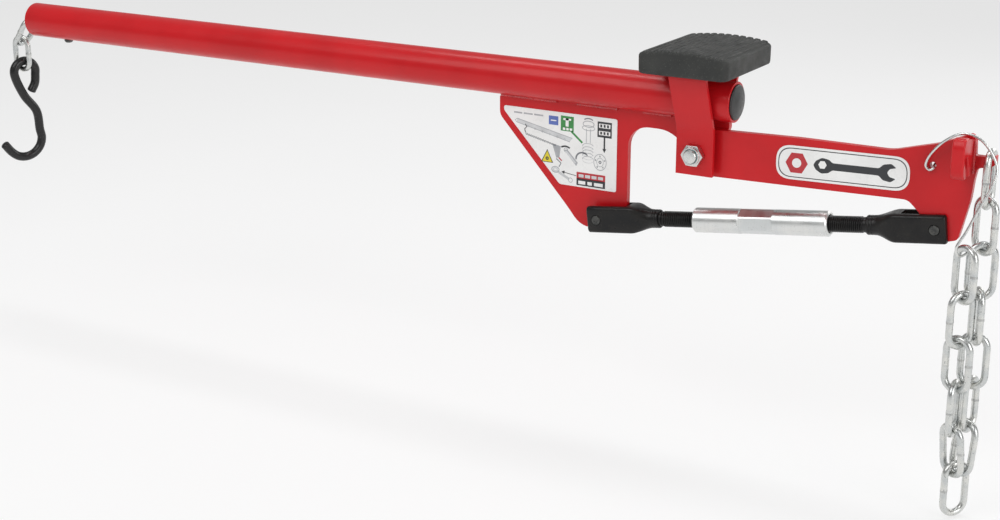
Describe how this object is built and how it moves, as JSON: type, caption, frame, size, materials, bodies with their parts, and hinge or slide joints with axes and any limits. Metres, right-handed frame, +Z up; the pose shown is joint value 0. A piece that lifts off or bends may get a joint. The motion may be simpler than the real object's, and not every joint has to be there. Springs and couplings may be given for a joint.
{
  "type": "suspension arm lever",
  "caption": "Long tubular lever with a rocking ribbed fulcrum pad, a pivoting arm set by a turnbuckle, a lifting chain on the arm's claw and an S-hook on a short tether chain.",
  "frame": {"origin": "middle of the crown of the fulcrum pad, on its central rib", "axes": "+X along the tube towards the arm and chain, +Z up out of the pad, Y across"},
  "size_m": [1.4901, 0.138, 0.5143],
  "materials": {
    "red_paint": "gloss red powder coat",
    "black_plastic": "moulded black plastic",
    "pad_rubber": "ribbed black rubber",
    "dark_steel": "dark oiled steel",
    "black_oxide": "black oxide, oiled",
    "hook_coating": "black coated wire",
    "zinc_hardware": "bright zinc plate",
    "sleeve_zinc": "bright zinc plate, turned",
    "chain_zinc": "zinc plate, slightly dull",
    "printed_label": "printed plastic film"
  },
  "bodies": {
    "lever": {"lever_tube": "red_paint", "gusset_plate": "red_paint", "tube_plug": "black_plastic", "tether_screw": "dark_steel", "pivot_bolt": "zinc_hardware", "pivot_nut": "zinc_hardware", "pivot_spacer_near": "zinc_hardware", "pivot_spacer_far": "zinc_hardware", "rear_pin": "dark_steel", "rear_pin_collar": "zinc_hardware", "instruction_label": "printed_label"},
    "saddle": {"saddle_bracket": "red_paint", "fulcrum_pad": "pad_rubber", "pad_screw_near": "zinc_hardware", "pad_screw_far": "zinc_hardware"},
    "arm": {"arm_plate": "red_paint", "chain_claw": "red_paint", "claw_backing": "red_paint", "arm_label": "printed_label", "front_pin": "dark_steel", "front_pin_collar": "zinc_hardware", "keeper_wire": "zinc_hardware"},
    "rear_fork": {"rear_fork": "black_oxide", "rear_spindle": "black_oxide"},
    "sleeve": {"turnbuckle_sleeve": "sleeve_zinc"},
    "front_fork": {"front_fork": "black_oxide", "front_spindle": "black_oxide"},
    "link_a1": {"chain_link_a1": "chain_zinc"},
    "link_a2": {"chain_link_a2": "chain_zinc"},
    "link_a3": {"chain_link_a3": "chain_zinc"},
    "strand_a": {"chain_link_a4": "chain_zinc", "chain_link_a5": "chain_zinc", "chain_link_a6": "chain_zinc", "chain_link_a7": "chain_zinc"},
    "link_bottom": {"chain_link_bottom": "chain_zinc"},
    "link_b1": {"chain_link_b1": "chain_zinc"},
    "link_b2": {"chain_link_b2": "chain_zinc"},
    "link_b3": {"chain_link_b3": "chain_zinc"},
    "strand_b": {"chain_link_b4": "chain_zinc", "chain_link_b5": "chain_zinc"},
    "tether_1": {"tether_link_1": "chain_zinc"},
    "tether_2": {"tether_link_2": "chain_zinc"},
    "tether_3": {"tether_link_3": "chain_zinc"},
    "tether_4": {"tether_link_4": "chain_zinc"},
    "s_hook": {"s_hook": "hook_coating"}
  },
  "joints": [
    {"name": "saddle_rock", "type": "hinge", "parent": "lever", "child": "saddle", "pos_m": [0, 0, -0.1293], "axis": [0, 1, 0], "range_deg": [-7, 7]},
    {"name": "arm_pivot", "type": "hinge", "parent": "lever", "child": "arm", "pos_m": [0, 0, -0.1293], "axis": [0, -1, 0], "range_deg": [-14, 10.5]},
    {"name": "rear_fork_pivot", "type": "hinge", "parent": "lever", "child": "rear_fork", "pos_m": [-0.1316, 0, -0.2305], "axis": [0, -1, 0], "range_deg": [-9.5, 7.2]},
    {"name": "front_fork_pivot", "type": "hinge", "parent": "arm", "child": "front_fork", "pos_m": [0.2883, 0, -0.1796], "axis": [0, -1, 0], "range_deg": [-3.8, 5]},
    {"name": "sleeve_turn", "type": "hinge", "parent": "rear_fork", "child": "sleeve", "pos_m": [0.07886, 0, -0.20499], "axis": [0.9927, 0, 0.1203], "range_deg": [-1500, 1125]},
    {"name": "chain_sway_out", "type": "hinge", "parent": "arm", "child": "link_a1", "pos_m": [0.341, -0.0045, -0.0906], "axis": [0, -1, 0], "range_deg": [0, 3.5]},
    {"name": "chain_sway_side", "type": "hinge", "parent": "link_a1", "child": "link_a2", "pos_m": [0.341, -0.0045, -0.143], "axis": [1, 0, 0], "range_deg": [0, 3.5]},
    {"name": "link_a3_swing", "type": "hinge", "parent": "link_a2", "child": "link_a3", "pos_m": [0.341, -0.0045, -0.1954], "axis": [0, -1, 0], "range_deg": [-4, 0.5]},
    {"name": "strand_a_swing", "type": "hinge", "parent": "link_a3", "child": "strand_a", "pos_m": [0.341, -0.0045, -0.2478], "axis": [1, 0, 0], "range_deg": [-4, 0.5]},
    {"name": "link_b1_swing", "type": "hinge", "parent": "arm", "child": "link_b1", "pos_m": [0.329, -0.0265, -0.1954], "axis": [0, -1, 0], "range_deg": [-0.5, 4]},
    {"name": "link_b2_swing", "type": "hinge", "parent": "link_b1", "child": "link_b2", "pos_m": [0.329, -0.0265, -0.2478], "axis": [1, 0, 0], "range_deg": [-0.5, 4]},
    {"name": "link_b3_swing", "type": "hinge", "parent": "link_b2", "child": "link_b3", "pos_m": [0.329, -0.0265, -0.3002], "axis": [0, -1, 0], "range_deg": [-4, 0.5]},
    {"name": "strand_b_swing", "type": "hinge", "parent": "link_b3", "child": "strand_b", "pos_m": [0.329, -0.0265, -0.3526], "axis": [1, 0, 0], "range_deg": [-4, 0.5]},
    {"name": "bottom_link_swing", "type": "hinge", "parent": "strand_a", "child": "link_bottom", "pos_m": [0.335, -0.0155, -0.44925], "axis": [0.6428, 0.766, 0], "range_deg": [-7, 7]},
    {"name": "tether_1_turn", "type": "hinge", "parent": "lever", "child": "tether_1", "pos_m": [-1.0138, 0, -0.0658], "axis": [0, 0, 1], "range_deg": [-3, 3]},
    {"name": "tether_2_lift", "type": "hinge", "parent": "tether_1", "child": "tether_2", "pos_m": [-1.0532, 0, -0.0658], "axis": [0, 1, 0], "range_deg": [0, 2]},
    {"name": "tether_3_swing", "type": "hinge", "parent": "tether_2", "child": "tether_3", "pos_m": [-1.084, 0, -0.0658], "axis": [0, 1, 0], "range_deg": [0, 35]},
    {"name": "tether_4_swing", "type": "hinge", "parent": "tether_3", "child": "tether_4", "pos_m": [-1.11153, 0, -0.10512], "axis": [0, 1, 0], "range_deg": [-25, 25]},
    {"name": "hook_swing", "type": "hinge", "parent": "tether_4", "child": "s_hook", "pos_m": [-1.11153, 0, -0.14452], "axis": [1, 0, 0], "range_deg": [-18, 20]}
  ],
  "couplings": [
    {"joint": "rear_fork_pivot", "follows": "arm_pivot", "ratio": 0.66233},
    {"joint": "front_fork_pivot", "follows": "arm_pivot", "ratio": -0.33767},
    {"joint": "sleeve_turn", "follows": "arm_pivot", "ratio": 106.34},
    {"joint": "link_a3_swing", "follows": "chain_sway_out", "ratio": -1},
    {"joint": "link_b1_swing", "follows": "chain_sway_out", "ratio": 1},
    {"joint": "link_b3_swing", "follows": "chain_sway_out", "ratio": -1},
    {"joint": "strand_a_swing", "follows": "chain_sway_side", "ratio": -1},
    {"joint": "link_b2_swing", "follows": "chain_sway_side", "ratio": 1},
    {"joint": "strand_b_swing", "follows": "chain_sway_side", "ratio": -1}
  ]
}
